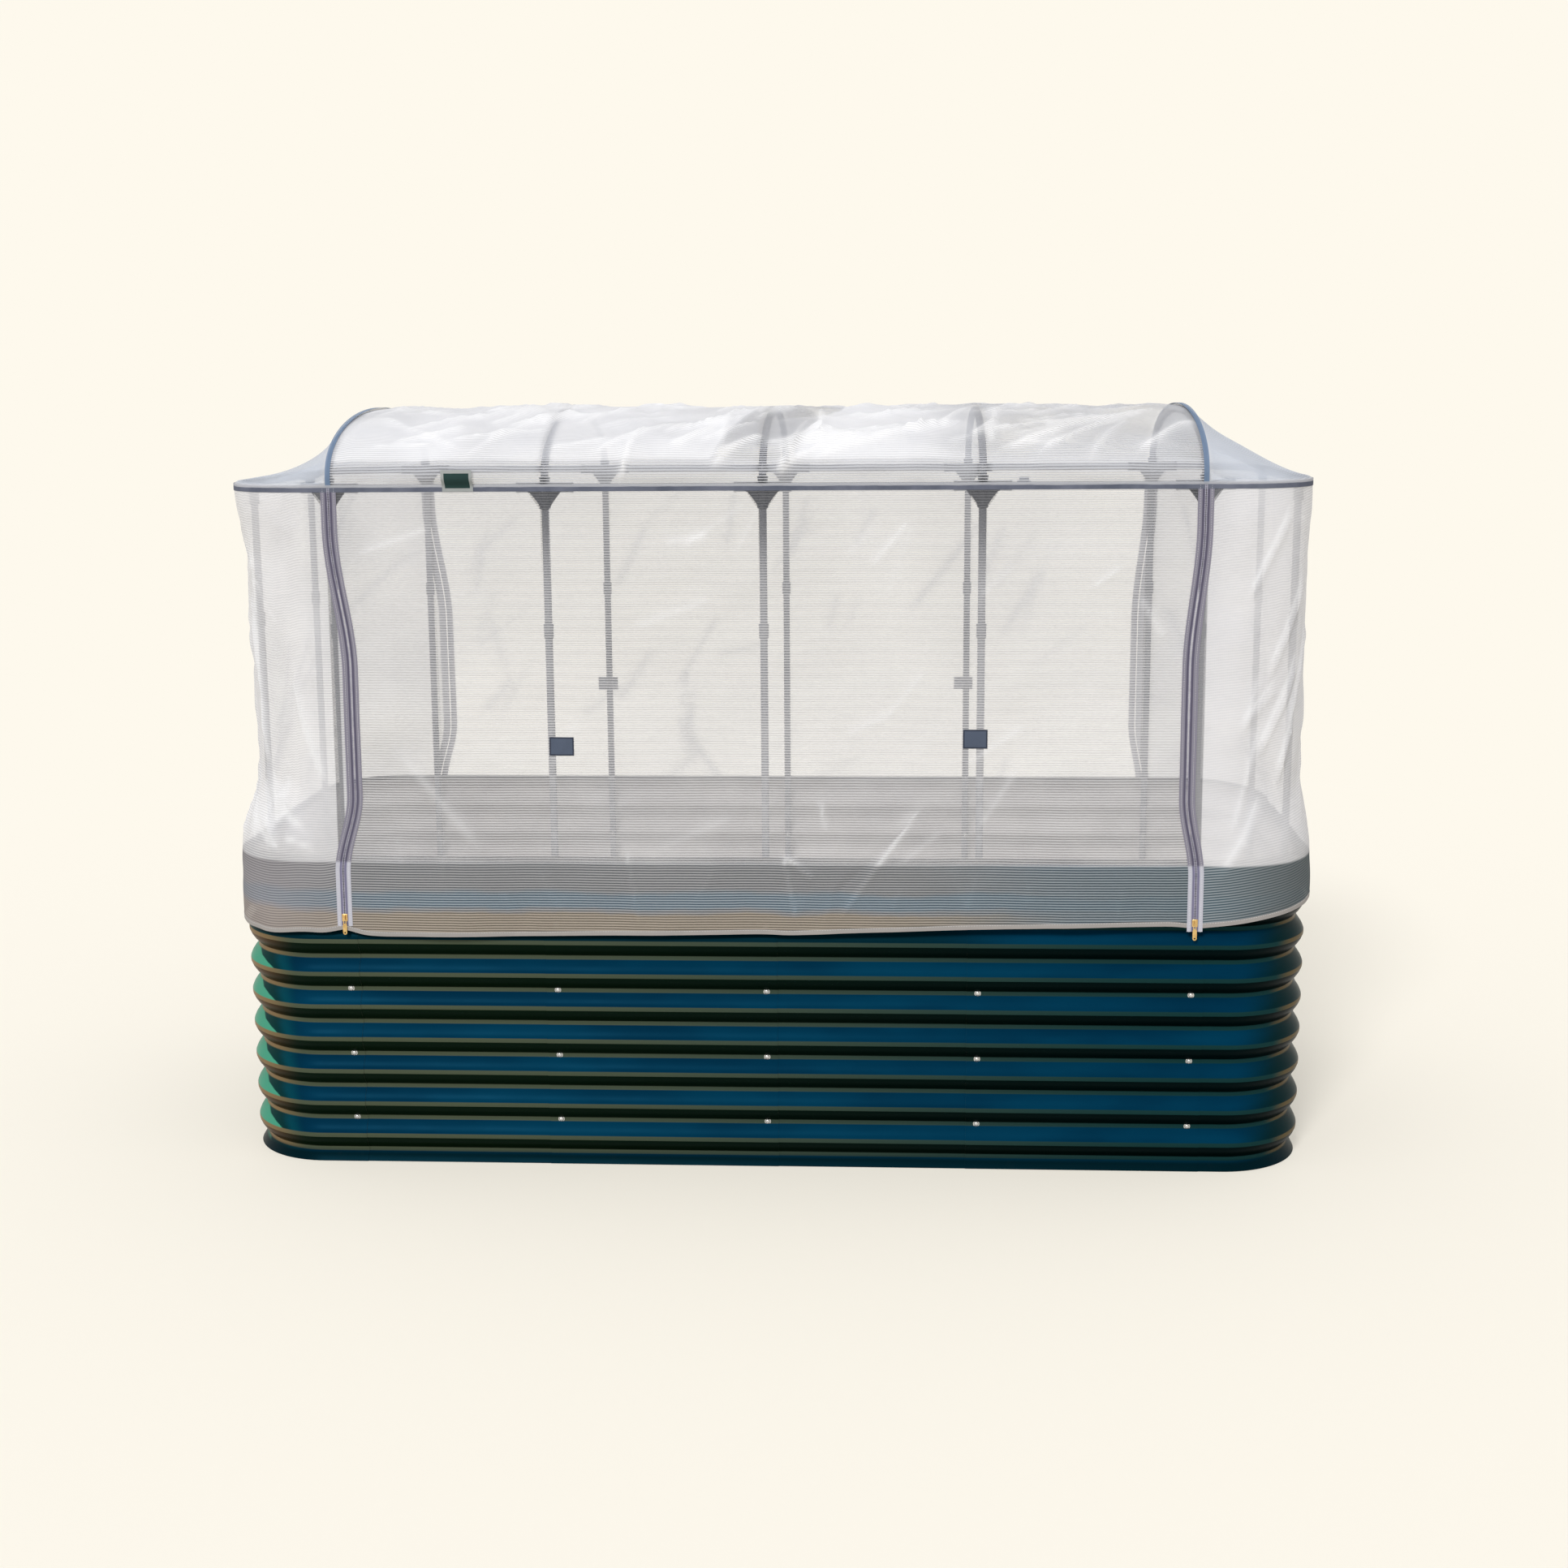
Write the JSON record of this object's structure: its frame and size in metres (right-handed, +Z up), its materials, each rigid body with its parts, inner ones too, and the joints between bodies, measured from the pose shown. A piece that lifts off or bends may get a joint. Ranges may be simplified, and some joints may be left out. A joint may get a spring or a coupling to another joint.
{
  "type": "raised bed greenhouse",
  "caption": "Oval raised garden bed of corrugated steel panels with a tube frame, hoops and a zipped net cover whose front and rear panels roll up.",
  "frame": {"origin": "on the ground under the middle of the bed", "axes": "+X along the bed to the right, +Y from front to rear, +Z up"},
  "size_m": [2.3732, 1.0098, 1.6428],
  "materials": {
    "green_steel": "dark green gloss coat on corrugated steel",
    "edging": "black rubber channel",
    "rod": "galvanised",
    "tube": "dark grey coated tube",
    "tee": "dark grey moulded connector",
    "net": "fine white striped mesh",
    "hem": "white bound edge",
    "zip_metal": "satin gold zip metal"
  },
  "bodies": {
    "bed_and_frame": {"front_panel_1": "green_steel", "front_panel_2": "green_steel", "front_panel_3": "green_steel", "front_panel_4": "green_steel", "rear_panel_1": "green_steel", "rear_panel_2": "green_steel", "rear_panel_3": "green_steel", "rear_panel_4": "green_steel", "left_end_panel": "green_steel", "right_end_panel": "green_steel", "left_front_corner": "green_steel", "left_rear_corner": "green_steel", "right_front_corner": "green_steel", "right_rear_corner": "green_steel", "rim_edging": "edging", "left_cross_brace": "rod", "right_cross_brace": "rod", "front_rail": "tube", "rear_rail": "tube", "left_end_rail": "tube", "right_end_rail": "tube", "front_post_1": "tube", "front_post_2": "tube", "front_post_3": "tube", "front_post_4": "tube", "front_post_5": "tube", "rear_post_1": "tube", "rear_post_2": "tube", "rear_post_3": "tube", "rear_post_4": "tube", "rear_post_5": "tube", "left_end_post_front": "tee", "left_end_post_rear": "tee", "right_end_post_front": "tee", "right_end_post_rear": "tee", "front_tee_1": "tee", "front_tee_2": "tee", "front_tee_3": "tee", "front_tee_4": "tee", "front_tee_5": "tee", "hoop_1": "tube", "hoop_2": "tube", "hoop_3": "tube", "hoop_4": "tube", "hoop_5": "tube", "roof_net": "net", "left_end_net": "net", "right_end_net": "net"},
    "front_door": {"front_door_net": "net", "front_hem": "hem"},
    "rear_door": {"rear_door_net": "net", "rear_hem": "hem"},
    "front_left_slider": {"front_left_slider": "zip_metal"},
    "front_left_pull": {"front_left_pull": "zip_metal"},
    "front_right_slider": {"front_right_slider": "zip_metal"},
    "front_right_pull": {"front_right_pull": "zip_metal"},
    "rear_left_slider": {"rear_left_slider": "zip_metal"},
    "rear_left_pull": {"rear_left_pull": "zip_metal"},
    "rear_right_slider": {"rear_right_slider": "zip_metal"},
    "rear_right_pull": {"rear_right_pull": "zip_metal"}
  },
  "joints": [
    {"name": "front_door_roll", "type": "slide", "parent": "bed_and_frame", "child": "front_door", "axis": [0, 0.027, 0.9996], "range_m": [0, 0.85], "deforming": ["front_door_net"]},
    {"name": "rear_door_roll", "type": "slide", "parent": "bed_and_frame", "child": "rear_door", "axis": [0, -0.027, 0.9996], "range_m": [0, 0.85], "deforming": ["rear_door_net"]},
    {"name": "front_left_zip", "type": "slide", "parent": "bed_and_frame", "child": "front_left_slider", "axis": [0, 0.027, 0.9996], "range_m": [0, 0.85]},
    {"name": "front_left_pull_swing", "type": "hinge", "parent": "front_left_slider", "child": "front_left_pull", "pos_m": [-0.914, -0.50214, 0.55709], "axis": [-1, 0, 0], "range_deg": [0, 120]},
    {"name": "front_right_zip", "type": "slide", "parent": "bed_and_frame", "child": "front_right_slider", "axis": [0, 0.027, 0.9996], "range_m": [0, 0.85]},
    {"name": "front_right_pull_swing", "type": "hinge", "parent": "front_right_slider", "child": "front_right_pull", "pos_m": [0.914, -0.50214, 0.55709], "axis": [-1, 0, 0], "range_deg": [0, 120]},
    {"name": "rear_left_zip", "type": "slide", "parent": "bed_and_frame", "child": "rear_left_slider", "axis": [0, -0.027, 0.9996], "range_m": [0, 0.85]},
    {"name": "rear_left_pull_swing", "type": "hinge", "parent": "rear_left_slider", "child": "rear_left_pull", "pos_m": [-0.914, 0.50214, 0.55709], "axis": [1, 0, 0], "range_deg": [0, 120]},
    {"name": "rear_right_zip", "type": "slide", "parent": "bed_and_frame", "child": "rear_right_slider", "axis": [0, -0.027, 0.9996], "range_m": [0, 0.85]},
    {"name": "rear_right_pull_swing", "type": "hinge", "parent": "rear_right_slider", "child": "rear_right_pull", "pos_m": [0.914, 0.50214, 0.55709], "axis": [1, 0, 0], "range_deg": [0, 120]}
  ],
  "couplings": [
    {"joint": "front_left_zip", "follows": "front_door_roll", "ratio": 1},
    {"joint": "front_right_zip", "follows": "front_door_roll", "ratio": 1},
    {"joint": "rear_left_zip", "follows": "rear_door_roll", "ratio": 1},
    {"joint": "rear_right_zip", "follows": "rear_door_roll", "ratio": 1}
  ]
}
